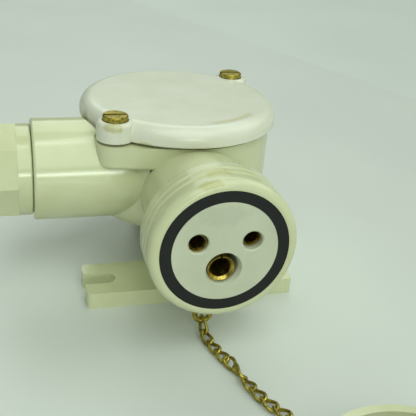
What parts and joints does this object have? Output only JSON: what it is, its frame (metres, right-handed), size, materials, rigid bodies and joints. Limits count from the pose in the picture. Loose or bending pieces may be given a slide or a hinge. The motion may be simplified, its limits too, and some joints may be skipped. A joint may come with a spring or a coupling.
{
  "type": "marine watertight socket outlet",
  "caption": "Round moulded-resin terminal box with a screwed cover, a threaded socket collar for pins, a cable gland, a slotted mounting bar and a screw cap kept on a brass chain.",
  "frame": {"origin": "on the mounting plane, under the axis of the round box", "axes": "+Z away from the mounting surface along the box axis, the socket opens towards -Y, the cable enters from -X"},
  "size_m": [0.1444, 0.2421, 0.0765],
  "materials": {
    "resin_body": "moulded ivory-green synthetic resin, satin gloss",
    "resin_cover": "moulded ivory synthetic resin, satin gloss",
    "resin_insert": "moulded grey-green insulating resin, matt",
    "brass": "turned brass",
    "brown_brass": "tarnished brass",
    "black_rubber": "black moulded rubber"
  },
  "bodies": {
    "housing_body": {"housing": "resin_body", "cover_gasket": "black_rubber", "cover_thread_inserts": "brass", "socket_insert": "resin_insert", "face_gasket": "black_rubber", "insert_clamp_plate": "resin_insert", "insert_fixing_screws": "brass", "contact_sleeve_left": "brass", "contact_sleeve_right": "brass", "contact_sleeve_earth": "brass", "gland_packing": "black_rubber", "chain_anchor_eye": "brown_brass", "screw_cap": "resin_body", "cap_gasket": "black_rubber", "cap_chain": "brown_brass"},
    "cover_body": {"cover": "resin_cover"},
    "cover_screw_rear_body": {"cover_screw_rear": "brown_brass"},
    "cover_screw_front_body": {"cover_screw_front": "brown_brass"},
    "gland_washer_body": {"gland_washer": "brass"},
    "gland_nut_body": {"gland_nut": "resin_body"},
    "terminal_screw_left_body": {"terminal_screw_left": "brass"},
    "terminal_screw_right_body": {"terminal_screw_right": "brass"},
    "terminal_screw_earth_body": {"terminal_screw_earth": "brass"}
  },
  "joints": [
    {"name": "cover_lift", "type": "slide", "parent": "housing_body", "child": "cover_body", "axis": [0, 0, 1], "range_m": [0, 0.03]},
    {"name": "cover_screw_rear_turn", "type": "hinge", "parent": "cover_body", "child": "cover_screw_rear_body", "pos_m": [0.03146, 0.02783, 0.073], "axis": [0, 0, 1], "continuous": true},
    {"name": "cover_screw_front_turn", "type": "hinge", "parent": "cover_body", "child": "cover_screw_front_body", "pos_m": [-0.03146, -0.02783, 0.073], "axis": [0, 0, 1], "continuous": true},
    {"name": "gland_washer_slide", "type": "slide", "parent": "housing_body", "child": "gland_washer_body", "axis": [-1, 0, 0], "range_m": [0, 0.0045]},
    {"name": "gland_nut_turn", "type": "hinge", "parent": "gland_washer_body", "child": "gland_nut_body", "pos_m": [-0.066, -0.0132, 0.0484], "axis": [-1, 0, 0], "range_deg": [0, 1080]},
    {"name": "terminal_screw_left_turn", "type": "hinge", "parent": "housing_body", "child": "terminal_screw_left_body", "pos_m": [-0.01022, -0.02543, 0.05157], "axis": [0, 0, 1], "continuous": true},
    {"name": "terminal_screw_right_turn", "type": "hinge", "parent": "housing_body", "child": "terminal_screw_right_body", "pos_m": [0.01012, -0.02543, 0.05202], "axis": [0, 0, 1], "continuous": true},
    {"name": "terminal_screw_earth_turn", "type": "hinge", "parent": "housing_body", "child": "terminal_screw_earth_body", "pos_m": [-0.00075, -0.02543, 0.04065], "axis": [0, 0, 1], "continuous": true}
  ],
  "couplings": [
    {"joint": "gland_washer_slide", "follows": "gland_nut_turn", "m_per_rad": 0.00023873}
  ]
}
